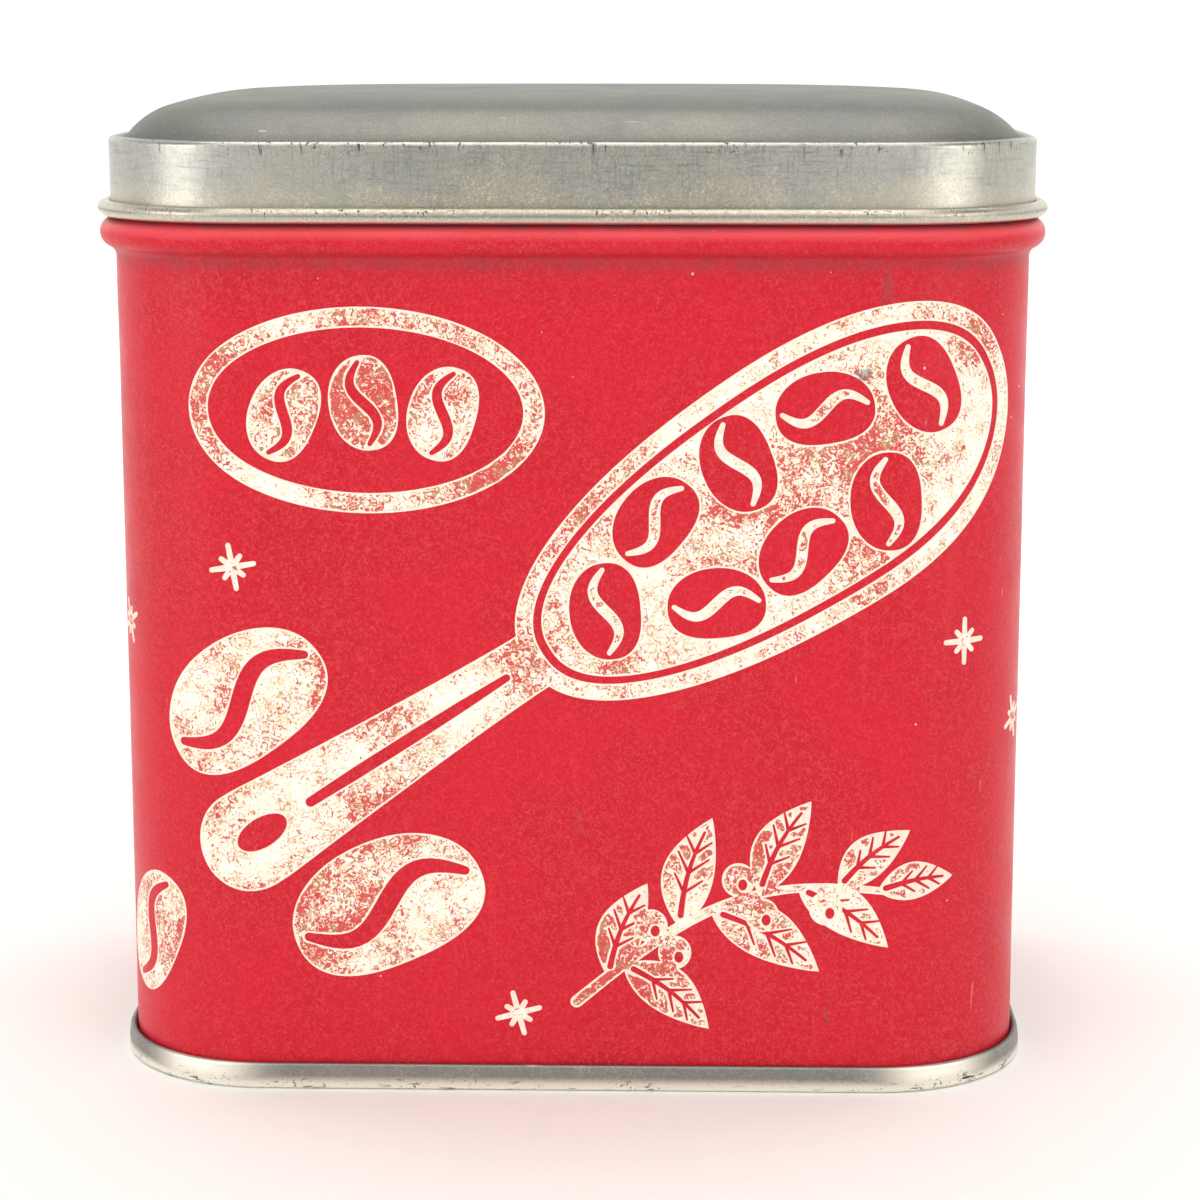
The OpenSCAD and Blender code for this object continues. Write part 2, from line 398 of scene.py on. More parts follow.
def stain(n, color):
    """Adds the two dark rub marks high on the right of the front, over lacquer and ink alike."""
    front = -BODY_D / 2
    level_mark = n.math("MULTIPLY", n.spot((34.5, front, 87), (1.7, 5, 0.8)), 0.6)
    upright_mark = n.math("MULTIPLY", n.spot((37, front, 97), (0.9, 5, 2.8)), 0.35)
    return n.mix(upright_mark, n.mix(level_mark, color, RUB_MARK), SMUDGE)


def red_lacquer():
    """Satin red lacquer: a fine crinkle, faint streaks, specks and smudges, and metal bared on the neck.

    The body's vertices say where: "wear" bares the metal, dust, painted shade and a painted shadow darken it,
    and a painted highlight makes it paler.
    """
    n = Nodes("red_lacquer")
    cloud = n.noise(55, 4, 0.6)
    crinkle = n.threads(1300, 0.065)
    grain = n.noise(2800, 2, 0.7)
    streak = n.noise(420, 3, 0.6, stretch=(1, 1, 0.06))
    color = n.mix(n.ramp(cloud, 0.36, 0.66), RED, RED_DEEP)
    color = n.mix(n.math("MULTIPLY", crinkle, n.ramp(cloud, 0.4, 0.6, 0.24, 0.42)), color, RED_PALE)
    color = n.mix(n.ramp(grain, 0.35, 0.62, 0.30, 0.0), color, RED_DARK)
    color = n.mix(n.ramp(streak, 0.60, 0.78, 0, 0.12), color, RED_PALE)
    scratch = n.noise(900, 2, 0.5, stretch=(1, 1, 0.12), distort=0.6)
    color = n.mix(n.ramp(scratch, 0.745, 0.80, 0, 0.45), color, SCRATCH)
    color = n.mix(n.ramp(n.cells(170), 0.020, 0.032, 0.8, 0), color, SPECK)
    smudge = n.math("MULTIPLY", n.ramp(n.noise(310, 3, 0.6, stretch=(1, 1, 0.45)), 0.70, 0.80),
                    n.ramp(n.noise(900, 2), 0.35, 0.6, 0.3, 0.9))
    color = n.mix(smudge, color, SMUDGE)
    color = stain(n, color)
    # Dust and painted shade in the hollow under the bead, and a painted shadow of the lid's curl across the
    # top of the bead
    dust_and_shadow = n.math("MULTIPLY", n.attribute("grime_and_shade"), n.ramp(n.noise(260, 4, 0.6), 0.35, 0.6, 0.4, 1.0))
    color = n.mix(dust_and_shadow, color, DUST_AND_SHADOW)
    # A painted highlight along the upper side of the bead
    painted_highlight = n.math("MULTIPLY", n.attribute("rub_and_highlight"), n.ramp(cloud, 0.3, 0.7, 0.95, 0.65))
    color = n.mix(painted_highlight, color, RED_PALE)
    wear = n.attribute("wear")
    scuffs = n.noise(1300, 3, 0.6, stretch=(1, 1, 0.10))
    scuffs = n.math("ADD", scuffs, n.ramp(n.noise(110, 3), 0.3, 0.7, -0.08, 0.08))
    worn = n.ramp(n.math("ADD", scuffs, n.math("MULTIPLY", wear, 0.28)), 0.64, 0.72)
    worn = n.math("MULTIPLY", worn, n.ramp(wear, 0.0, 0.2))
    color = n.mix(worn, color, TIN)
    rough = n.ramp(n.noise(150, 3), 0.3, 0.7, 0.32, 0.42)
    normal = n.bump(crinkle, 0.004, n.bump(grain, 0.003))
    return n.finish(color, rough, worn, normal, IOR=1.30)


def cream_ink():
    """Worn cream ink: whole along its outline, and flecked with peach, brown and red inside.

    A vertex's "rim" is its distance from the outline in millimetres, and "wear" adds flecks to a whole piece.
    """
    n = Nodes("cream_ink")
    patch = n.noise(90, 4, 0.62)
    spread = n.noise(330, 3, 0.6)
    rim = n.math("ADD", n.attribute("rim"), n.ramp(n.noise(900, 2), 0.3, 0.7, -0.08, 0.08))
    inside = n.ramp(rim, 0.14, 0.30)
    near_rim = n.ramp(n.attribute("rim"), 0.3, 3.4, 0.11, 0.0)
    near_rim = n.math("MULTIPLY", near_rim, n.ramp(n.noise(60, 3), 0.40, 0.62))
    wear = n.math("MULTIPLY", n.attribute("wear"), 0.10)
    reach = n.math("ADD", n.math("ADD", n.ramp(patch, 0.34, 0.68, -0.085, 0.085), near_rim), wear)
    fine = n.math("MULTIPLY", n.threads(1150, 0.06),
                  n.ramp(n.math("ADD", spread, reach), 0.34, 0.58, 0.35, 1.0))
    brown = n.math("MULTIPLY", n.threads(850, 0.036, shift=(3, 1, 2)),
                   n.ramp(n.math("ADD", spread, n.math("MULTIPLY", reach, 0.6)), 0.44, 0.58, 0.0, 0.9))
    bare = n.ramp(n.math("ADD", n.noise(1450, 3, 0.6, distort=1.8), reach), 0.56, 0.635, 0.0, 0.93)
    color = n.mix(n.ramp(n.noise(1100, 3), 0.40, 0.62), CREAM_PALE, CREAM)
    color = n.mix(n.ramp(rim, 0.0, 0.26, 0.45, 0.0), color, INK_EDGE)
    color = n.mix(n.math("MULTIPLY", fine, inside), color, PEACH)
    color = n.mix(n.math("MULTIPLY", brown, inside), color, INK_STAIN)
    through = n.math("MULTIPLY", bare, inside)
    color = n.mix(through, color, n.mix(n.ramp(n.noise(700, 2), 0.50, 0.66), RUST, INK_STAIN))
    color = stain(n, color)
    rough = n.ramp(through, 0, 1, 0.52, 0.40)
    normal = n.bump(through, -0.010)
    return n.finish(color, rough, 0.0, normal, IOR=1.4)


def tinplate(name, skirt=False, painted_shade=0.0):
    """Dulled bare tinplate: fine threads and grain, grime and painted shade in the creases, and nicks along
    the edges.

    The vertices say where: "edge" is nicked, "matt" darker and rough, painted highlights and reflections
    bright, and grime and painted shade dark. The lid's skirt is also worn grey by rubbing near its top and
    warmer lower down. A darkening passed in paints a dark reflection over all of the sheet.
    """
    n = Nodes(name)
    mottle = n.noise(70, 5, 0.62)
    worm = n.threads(1400, 0.05)
    grain = n.noise(4200, 2, 0.6)
    upright = n.noise(2600, 2, 0.6, stretch=(1, 1, 0.12))
    level_streak = n.noise(2600, 2, 0.6, stretch=(0.10, 0.10, 1))
    color = n.mix(n.ramp(mottle, 0.35, 0.65), TIN, TIN_COOL)
    worms = n.ramp(n.noise(240, 3), 0.4, 0.6, 0.14, 0.30)
    matt = n.attribute("matt")
    if skirt:
        level = n.math("ADD", n.height(), n.ramp(n.noise(95, 5, 0.65), 0.3, 0.7, -2.4, 2.4))
        low = n.ramp(level, LEDGE_Z - 7.4, LEDGE_Z - 2.6, 1.0, 0.0)
        high = n.math("SUBTRACT", n.math("SUBTRACT", 1.0, low), matt, clamp=True)
        color = n.mix(low, color, TIN_WARM)
        rub_and_highlight = n.math("MAXIMUM", n.ramp(upright, 0.48, 0.70), n.ramp(level_streak, 0.46, 0.70))
        rub_and_highlight = n.math("MULTIPLY", rub_and_highlight, n.ramp(n.noise(170, 4), 0.40, 0.62, 0.35, 0.75))
        color = n.mix(n.math("MULTIPLY", rub_and_highlight, high), color, TIN_RUBBED)
        worms = n.math("MULTIPLY", worms, n.ramp(low, 0, 1, 1.0, 2.6))
    # Darker where the dome is matt, and darker all over by the darkening passed in, a painted dark reflection
    color = n.mix(n.math("ADD", n.math("MULTIPLY", matt, 0.54), painted_shade), color, TIN_DARK)
    worms = n.math("MULTIPLY", worms, n.ramp(matt, 0, 1, 1.0, 0.35))
    color = n.mix(n.math("MULTIPLY", worm, worms), color, TIN_PALE)
    color = n.mix(n.ramp(grain, 0.35, 0.65, 0.24, 0.0), color, TIN_DARK)
    # Painted highlights and painted reflections: bright tin where the vertices ask for it
    color = n.mix(n.math("MULTIPLY", n.attribute("painted_sheen"), 0.95), color, TIN_SHEEN)
    # Grime and painted shade darken the creases
    grime_and_shade = n.math("MULTIPLY", n.attribute("grime_and_shade"), n.ramp(mottle, 0.3, 0.6, 0.9, 0.6))
    color = n.mix(grime_and_shade, color, TIN_DARK)
    scored = n.noise(1900, 2, 0.5, stretch=(1, 1, 0.16) if skirt else (0.2, 0.2, 1))
    chipped = n.noise(1700, 3, 0.6, distort=1.5)
    nick = n.math("MAXIMUM", n.ramp(chipped, 0.60, 0.66), n.ramp(scored, 0.61, 0.69))
    nick = n.math("MULTIPLY", nick, n.ramp(n.noise(120, 3), 0.42, 0.58, 0.25, 1))
    nicked = n.math("MULTIPLY", nick, n.attribute("edge"))
    color = n.mix(nicked, color, NICK)
    hairline = n.noise(1100, 2, 0.5, stretch=(0.12, 1, 1), distort=0.5)
    color = n.mix(n.ramp(hairline, 0.70, 0.76, 0, 0.4), color, TIN_PALE)
    rough = n.math("ADD", n.ramp(mottle, 0.3, 0.7, 0.30, 0.38), n.math("MULTIPLY", matt, 0.22))
    rough = n.math("ADD", rough, n.math("MULTIPLY", n.math("MAXIMUM", nicked, grime_and_shade), 0.25), clamp=True)
    normal = n.bump(worm, 0.004)
    normal = n.bump(upright, 0.005 if skirt else 0.002, normal)
    normal = n.bump(nicked, -0.03, normal)
    return n.finish(color, rough, 1.0, normal)


def inner_tin():
    """The plain inside of the sheet: brighter than the outside, with faint rolling lines."""
    n = Nodes("inner_tin")
    lines = n.noise(1400, 3, 0.6, stretch=(1, 1, 0.03))
    color = n.mix(n.ramp(n.noise(45, 4), 0.35, 0.7), INSIDE_PALE, INSIDE_DARK)
    color = n.mix(n.ramp(lines, 0.5, 0.75, 0, 0.3), color, INSIDE_LINE)
    return n.finish(color, n.ramp(lines, 0.3, 0.7, 0.28, 0.42), 1.0, n.bump(lines, 0.004))


def compound_rubber():
    """Dark sealing compound, slightly grainy."""
    n = Nodes("compound_rubber")
    grain = n.noise(1800, 3)
    color = n.mix(grain, COMPOUND_DARK, COMPOUND_PALE)
    return n.finish(color, n.ramp(grain, 0.3, 0.7, 0.65, 0.85), 0.0, n.bump(grain, 0.01))


# --- the body ----------------------------------------------------------------------------------------

def bead_face(depth):
    """The bead and its two hollows, on the sheet's outer face or at a depth behind it."""
    rise = math.sqrt((BEAD_R + BEAD_FILLET) ** 2 - BEAD_FILLET ** 2)
    swing = math.degrees(math.atan2(rise, BEAD_FILLET))
    hollow = BEAD_FILLET + depth
    return (arc(BEAD_FILLET, BEAD_Z - rise, hollow, hollow, 180, 180 - swing, 8)
            + arc(0, BEAD_Z, BEAD_R - depth, BEAD_R - depth, -swing, swing, 16)[1:]
            + arc(BEAD_FILLET, BEAD_Z + rise, hollow, hollow, 180 + swing, 180, 8)[1:])


def seam_layers():
    """The gap between the double seam's layers, and the outsets of its cover hook and body hook."""
    gap = (SEAM_OUT - 3 * SHEET) / 3
    cover = gap
    hook = cover + SHEET + gap
    return gap, cover, hook


def build_body(material, inside):
    """The body sheet, from its hook in the double seam up over the bead and neck to the mouth's curl."""
    gap, _, hook = seam_layers()
    turn_r = (hook + 2 * SHEET) / 2
    turn_x = turn_r - SHEET
    turn_z = SHEET + gap + turn_r
    hook_top = SEAM_H - HOOK_DROP
    curl_steps, bare_steps = 24, 14
    curl_in_r = MOUTH_CURL_R - SHEET
    wall = [(0.0, z) for z in np.linspace(turn_z + 3, BEAD_Z - 4, 30)]
    mouth_z = MOUTH_Z - MOUTH_CURL_R
    outer = ([(hook, hook_top)]
             + arc(turn_x, turn_z, turn_r - SHEET, turn_r - SHEET, 360, 180)
             + wall + bead_face(0)
             + [(0.0, z) for z in np.linspace(BEAD_Z + 4, mouth_z - 0.6, 4)]
             + arc(-MOUTH_CURL_R, mouth_z, MOUTH_CURL_R, MOUTH_CURL_R, 0, 360 - MOUTH_OPEN, curl_steps))
    inner = (arc(-MOUTH_CURL_R, mouth_z, curl_in_r, curl_in_r, 360 - MOUTH_OPEN, 0, curl_steps)
             + [(-SHEET, z) for z in np.linspace(mouth_z - 0.6, BEAD_Z + 4, 4)]
             + bead_face(SHEET)[::-1]
             + [(o - SHEET, z) for o, z in wall[::-1]]
             + arc(turn_x, turn_z, turn_r, turn_r, 180, 360)
             + [(hook + SHEET, hook_top)])
    profile = outer + inner
    loops = [ring(o, z, wall_wave(U, z)) for o, z in profile]
    verts = list(np.concatenate(loops))
    obj = make_object("body_shell_skin", verts, bridge(loops, True), [material, inside])
    # The inside and the rolled-in end of the mouth's curl are bare.
    first_bare = len(outer) - bare_steps
    slots = [1 if first_bare <= f.index // len(U) < len(profile) - 1 else 0 for f in obj.data.polygons]
    obj.data.polygons.foreach_set("material_index", slots)
    heights = np.array([v[2] for v in verts])
    bead_top = BEAD_Z + BEAD_R
    neck = np.clip((heights - BEAD_Z - 2.2) / 2, 0, 1)
    lip = np.clip((heights - mouth_z) / 0.5, 0, 1)
    set_attribute(obj, "wear", 0.35 * neck + 0.65 * lip)
    # Dust and painted shade in the hollow under the bead, and a painted shadow of the lid's curl over the top
    # of the bead and just above it
    under_bead = 0.60 * np.clip(1 - np.abs(heights - BEAD_Z + BEAD_R + 0.7) / 1.7, 0, 1)
    under_curl = np.clip((heights - bead_top + 0.8) / 0.35, 0, 1)
    under_curl *= np.clip((bead_top + 1 - heights) / 0.6, 0, 1)
    set_attribute(obj, "grime_and_shade", np.maximum(under_bead, under_curl))
    # A painted highlight along the upper side of the bead
    set_attribute(obj, "rub_and_highlight", np.clip(1 - np.abs(heights - BEAD_Z - 0.95) / 1.0, 0, 1))
    return obj


def wall_wave(u, z):
    """How far the wall lies behind its true face: nothing near the seam and the bead."""
    fade = np.clip((z - 6) / 10, 0, 1) * np.clip((BEAD_Z - 6 - z) / 10, 0, 1)
    return ripple(u, z, 0.10, 5) * fade


def build_side_seam(material):
    """The folded side seam on the inside of the back wall: a low ridge with rounded edges."""
    half, edge_r, sunk = SIDE_SEAM_W / 2, 0.5, 0.05
    section = [(-half, 0.0)]
    section += [(-half + edge_r * (1 - math.cos(t)), SIDE_SEAM_RISE * math.sin(t))
                for t in np.linspace(0.3, math.pi / 2, 6)]
    section += [(-x, y) for x, y in section[::-1]]
    loops = []
    for z in np.linspace(PANEL_Z + PANEL_STEP + 2 * SHEET, BEAD_Z - 3.2, 24):
        wall_y = BODY_D / 2 - SHEET + wall_wave(np.array([AROUND / 2]), z)[0]
        loops.append(np.array([(x, wall_y + sunk - y, z) for x, y in section]))
    verts = np.concatenate(loops)
    n = len(section)
    faces = bridge(loops, False) + [tuple(range(n))[::-1], tuple(range(len(verts) - n, len(verts)))]
    return make_object("side_seam_fold", verts, faces, [material])


def round_wall(out, z, middle):
    """Draws the top of the seam's outer wall in by up to 0.16 mm, so that the wall is slightly rounded."""
    share = max(out - middle, 0) / (SEAM_OUT - middle)
    return out - 0.16 * share * min(max((z - 0.9) / 1.7, 0), 1) ** 2


def build_bottom(material):
    """The bottom end: cover hook, seaming wall, foot, chuck wall and recessed panel, both faces."""
    _, cover, _ = seam_layers()
    chuck = -SHEET - CHUCK_GAP - SHEET
    foot_r, fold_r = SEAM_FOOT_R, (SEAM_OUT - cover) / 2
    fold_x, fold_z = (SEAM_OUT + cover) / 2, SEAM_H - fold_r
    bend, step_x, mid_z = PANEL_BEND_R, chuck - PANEL_BORDER, PANEL_Z + PANEL_STEP
    lower = ([(cover, COVER_TIP_Z)] + arc(fold_x, fold_z, fold_r, fold_r, 180, 0, 16)
             + [(SEAM_OUT, z) for z in np.linspace(fold_z, foot_r, 8)[1:-1]]
             + arc(SEAM_OUT - foot_r, foot_r, foot_r, foot_r, 0, -90)
             + arc(chuck + foot_r, foot_r, foot_r, foot_r, 270, 180)
             + arc(chuck - bend, PANEL_Z - bend, bend, bend, 0, 90))
    upper = (arc(chuck - bend, PANEL_Z - bend, bend + SHEET, bend + SHEET, 90, 0)
             + arc(chuck + foot_r, foot_r, foot_r - SHEET, foot_r - SHEET, 180, 270)
             + arc(SEAM_OUT - foot_r, foot_r, foot_r - SHEET, foot_r - SHEET, -90, 0)
             + arc(fold_x, fold_z, fold_r - SHEET, fold_r - SHEET, 0, 180, 16)
             + [(cover + SHEET, COVER_TIP_Z)])
    step = [(step_x - PANEL_STEP_W * t, PANEL_Z + PANEL_STEP * (0.5 - 0.5 * math.cos(math.pi * t)))
            for t in np.linspace(0, 1, 8)]
    upper, lower = ([(round_wall(o, z, fold_x), z) for o, z in part] for part in (upper, lower))
    loops = [ring(o, z + SHEET) for o, z in step[::-1]] + [ring(o, z) for o, z in upper]
    loops += [ring(o, z) for o, z in lower] + [ring(o, z) for o, z in step]
    verts = list(np.concatenate(loops))
    n = len(U)
    faces = bridge(loops, False)
    cap(faces, verts, list(range(n)), mid_z + SHEET, True)
    cap(faces, verts, list(range(len(loops) * n - n, len(loops) * n)), mid_z, False)
    obj = make_object("bottom_end_skin", verts, faces, [material])
    z = np.array([v[2] for v in verts])
    out = outset(verts)
    set_attribute(obj, "edge", np.clip(1.3 - np.abs(z - 0.7) / 1.1, 0, 1) * (out > 0))
    x = np.abs(np.array(verts)[:, 0])
    # A painted reflection of the bright floor along the seam's foot, and painted highlights near the corners
    corner = 0.9 * np.clip((x - FLAT_X + 1) / 5, 0, 1) * np.clip((FLAT_X + 15 - x) / 4, 0, 1)
    set_attribute(obj, "painted_sheen", np.maximum(np.clip((1.7 - z) / 0.9, 0, 1), corner) * (out > 0.2))
    set_attribute(obj, "matt", np.zeros(len(z)))
    # Grime and painted shade in the crease at the top of the fold
    fold_top = np.clip(1 - np.abs(z - SEAM_H + 0.1) / 0.4, 0, 1)
    set_attribute(obj, "grime_and_shade", 0.8 * fold_top * (out < SEAM_OUT - 0.3))
    return obj


# --- the lid -----------------------------------------------------------------------------------------

def dome_height(x, y, s):
    """Height of the lid's outer face at (x, y), which lies s inwards from the foot of the dome."""
    half_w, half_d = BODY_W / 2 + DOME_FOOT, BODY_D / 2 + DOME_FOOT
    crown = CROWN * (1 - (x / half_w) ** 4) * (1 - (y / half_d) ** 2)
    foot = np.clip(s / 0.5, 0, 1)
    foot = foot * foot * (3 - 2 * foot)
    rise = SHOULDER * (1 - np.exp(-s / SHOULDER_W)) * (0.35 + 0.65 * foot)
    return LEDGE_Z + rise + crown * np.clip(s / 4, 0, 1)


def dome_loops(depth):
    """Loops over the dome from its foot to near its middle, on the outer face or at a depth below it."""
    loops = []
    swept = 11.0
    for s in swept * np.linspace(0, 1, 30) ** 1.7:
        flat = BASE + (DOME_FOOT - s) * NORMAL
        loops.append(np.column_stack([flat, dome_height(flat[:, 0], flat[:, 1], s)]))
    last = BASE + (DOME_FOOT - swept) * NORMAL
    span = BODY_D / 2 + DOME_FOOT - swept
    for t in np.linspace(0, 1, 22)[1:-1]:
        flat = last * (1 - t)
        loops.append(np.column_stack([flat, dome_height(flat[:, 0], flat[:, 1], swept + span * t)]))
    for loop, nearer in zip(loops, loops[1:] + [loops[-1]]):
        run = np.maximum(np.linalg.norm(nearer[:, :2] - loop[:, :2], axis=1), 0.01)
        slope = np.abs(nearer[:, 2] - loop[:, 2]) / run
        loop[:, 2] -= depth * np.sqrt(1 + np.minimum(slope, 2) ** 2)
    return loops


def skirt_wave(z):
    """How far the lid's skirt lies behind its true face: nothing near the ledge and the curl."""
    return ripple(U, z, 0.05, 11, 0.4) * np.clip((LEDGE_Z - 1 - z) / 2, 0, 1) * (z > CURL_Z + 0.5)


def build_lid(material, inside):
    """The lid: dome, ledge, skirt and curl, outer face first and inner face last."""
    skirt_out = LID_GAP + LID_SHEET
    edge_x, edge_z = skirt_out - LEDGE_EDGE_R, LEDGE_Z - LEDGE_EDGE_R
    in_r = LEDGE_EDGE_R - LID_SHEET
    curl_x = LID_GAP + CURL_A
    skirt = list(np.linspace(CURL_Z + 0.8, edge_z - 0.3, 7))
    outer = (arc(edge_x, edge_z, LEDGE_EDGE_R, LEDGE_EDGE_R, 90, 0, 8)
             + [(skirt_out, z) for z in skirt[::-1]]
             + arc(curl_x, CURL_Z, CURL_A - LID_SHEET, CURL_B - LID_SHEET, 180, 540 - CURL_OPEN, 28))
    rolled_steps = 34
    inner = (arc(curl_x, CURL_Z, CURL_A, CURL_B, 540 - CURL_OPEN, 180, rolled_steps)
             + [(LID_GAP, z) for z in skirt]
             + arc(edge_x, edge_z, in_r, in_r, 0, 90, 6))
    top = dome_loops(0)[::-1]
    under = dome_loops(LID_SHEET)
    loops = top + [ring(o, z, skirt_wave(z)) for o, z in outer + inner] + under
    verts = list(np.concatenate(loops))
    n = len(U)
    faces = bridge(loops, False)
    last_loop = list(range(len(loops) * n - n, len(loops) * n))
    cap(faces, verts, list(range(n)), float(top[0][:, 2].mean()), True)
    cap(faces, verts, last_loop, float(under[-1][:, 2].mean()), False)
    obj = make_object("lid_skin", verts, faces, [material, inside])
    first_inside = len(top) + len(outer) + rolled_steps
    slots = [1 if f.index // n >= first_inside else 0 for f in obj.data.polygons]
    # The last two fans close the dome: its outer face, then its inner face.
    slots[-2 * n:-n] = [0] * n
    slots[-n:] = [1] * n
    obj.data.polygons.foreach_set("material_index", slots)
    z = np.array([v[2] for v in verts])
    out = outset(verts)
    ledge_edge = np.clip(1.4 - np.abs(z - (LEDGE_Z - 0.5)) / 0.9, 0, 1) * (out > edge_x - 0.1)
    curl_edge = np.clip(1.3 - np.abs(z - CURL_Z - 0.35) / 0.6, 0, 1) * (out > skirt_out + 0.2)
    set_attribute(obj, "edge", np.maximum(ledge_edge, curl_edge))
    # Painted highlights towards the skirt's sides and along the rounded edge of the ledge, and a painted
    # reflection on the lower part of the curl
    sides = 0.2 * np.clip((np.abs(np.array(verts)[:, 0]) - 14) / 24, 0, 1) * (out > edge_x)
    painted_highlight = 0.2 * np.clip(1 - np.abs(z - LEDGE_Z + 0.2) / 0.35, 0, 1) * (out > edge_x - 0.1)
    foot_of_curl = 0.4 * np.clip((CURL_Z - 0.2 - z) / 0.5, 0, 1)
    set_attribute(obj, "painted_sheen", np.maximum(np.maximum(sides, painted_highlight), foot_of_curl))
    set_attribute(obj, "matt", np.clip((DOME_FOOT + 0.3 - out) / 0.6, 0, 1))
    # Grime and painted shade at the foot of the dome and in the crease above the curl, and a dark line round
    # the middle of the curl
    foot = np.clip(1 - np.abs(out - DOME_FOOT) / 0.35, 0, 1)
    crease = np.clip(1 - np.abs(z - CURL_Z - 0.65) / 0.4, 0, 1) * (np.abs(out - skirt_out) < 0.25)
    fold_line = np.clip(1 - np.abs(z - CURL_Z) / 0.2, 0, 1) * (out > skirt_out + 0.3)
    set_attribute(obj, "grime_and_shade", np.maximum(foot, np.maximum(0.3 * crease, 0.65 * fold_line)))
    return obj


# --- the print ---------------------------------------------------------------------------------------

def turned(points, at, degrees, scale=1.0):
    """Points turned about the origin, scaled and moved to at."""
    c, s = math.cos(math.radians(degrees)), math.sin(math.radians(degrees))
    p = np.asarray(points, float) * scale
    rotated = np.column_stack([c * p[:, 0] - s * p[:, 1], s * p[:, 0] + c * p[:, 1]])
    return rotated + np.asarray(at, float)


def ellipse(a, b, step=0.5, power=2.0):
    """An ellipse about the origin, squarer where power is over 2."""
    count = max(24, int(math.pi * (a + b) / step))
    t = np.linspace(0, 2 * math.pi, count, endpoint=False)
    c, s = np.cos(t), np.sin(t)
    x = a * np.sign(c) * np.abs(c) ** (2 / power)
    y = b * np.sign(s) * np.abs(s) ** (2 / power)
    return np.column_stack([x, y])


def ribbon(centre, widths):
    """A closed strip along a curve, with a width at each of its points and round ends."""
    centre = np.asarray(centre, float)
    widths = np.broadcast_to(widths, len(centre))
    along = np.gradient(centre, axis=0)
    along /= np.linalg.norm(along, axis=1)[:, None]
    side = np.column_stack([-along[:, 1], along[:, 0]])
    left, right = centre + side * widths[:, None] / 2, centre - side * widths[:, None] / 2
    bends = np.linspace(0, math.pi, 9 + int(1.5 * widths[[0, -1]].max()))[1:-1]
    cos, sin = np.cos(bends)[:, None], np.sin(bends)[:, None]
    end = centre[-1] + widths[-1] / 2 * (side[-1] * cos + along[-1] * sin)
    start = centre[0] - widths[0] / 2 * (side[0] * cos + along[0] * sin)
    return np.concatenate([left, end, right[::-1], start])


def bean(length, width):
    """A coffee bean's outline and its S-shaped crease."""
    outline = ellipse(length / 2, width / 2, power=2.25)
    outline[:, 1] += 0.05 * width * np.cos(math.pi * outline[:, 0] / length)
    t = np.linspace(-1, 1, 25)
    s_curve = np.column_stack([0.43 * length * t, 0.16 * width * np.sin(math.pi * t) + 0.04 * width])
    return outline, ribbon(s_curve, (0.16 - 0.09 * t ** 2) * width)


def leaf(length, width):
    """A pointed leaf from the origin along +X, and its midrib with side veins."""
    t = np.linspace(0, 1, 30)
    half = width / 2 * np.sin(math.pi * t ** 0.85) ** 0.9
    bow = 0.06 * length * np.sin(math.pi * t)
    upper = np.column_stack([length * t, half + bow])
    lower = np.column_stack([length * t, bow - half])
    outline = np.concatenate([lower, upper[-2:0:-1]])
    rib_t = np.linspace(0.10, 0.86, 16)
    rib = np.column_stack([length * rib_t, 0.06 * length * np.sin(math.pi * rib_t)])
    cuts = [ribbon(rib, np.linspace(0.75, 0.35, 16))]
    for at in (0.3, 0.48, 0.66):
        x, y = length * at, 0.06 * length * math.sin(math.pi * at)
        reach = 0.36 * width * math.sin(math.pi * at ** 0.85)
        for sign in (1, -1):
            vein = [(x + reach * k, y + sign * reach * 0.85 * k) for k in np.linspace(0, 1, 5)]
            cuts.append(ribbon(vein, np.linspace(0.45, 0.25, 5)))
    return outline, cuts


def inside_loop(points, loop):
    """Which points lie inside a closed loop."""
    x, y = points[:, 0], points[:, 1]
    a, b = loop, np.roll(loop, -1, axis=0)
    hit = np.zeros(len(points), bool)
    for (x0, y0), (x1, y1) in zip(a, b):
        if y0 != y1:
            crosses = (y0 > y) != (y1 > y)
            hit ^= crosses & (x < (x1 - x0) * (y - y0) / (y1 - y0) + x0)
    return hit


def shown(points, layers):
    """Painting order: the last loop that covers a point says whether there is ink on it."""
    ink = np.zeros(len(points), bool)
    for paint, loop in layers:
        ink[inside_loop(points, loop)] = paint
    return ink


# How far the ink stands out of the wall and reaches into it, the spacing of the points that fill it, and
# how far they stay clear of its outlines
INK = 0.045
ROOT = 0.03
GRID = 0.9
CLEAR = 0.3


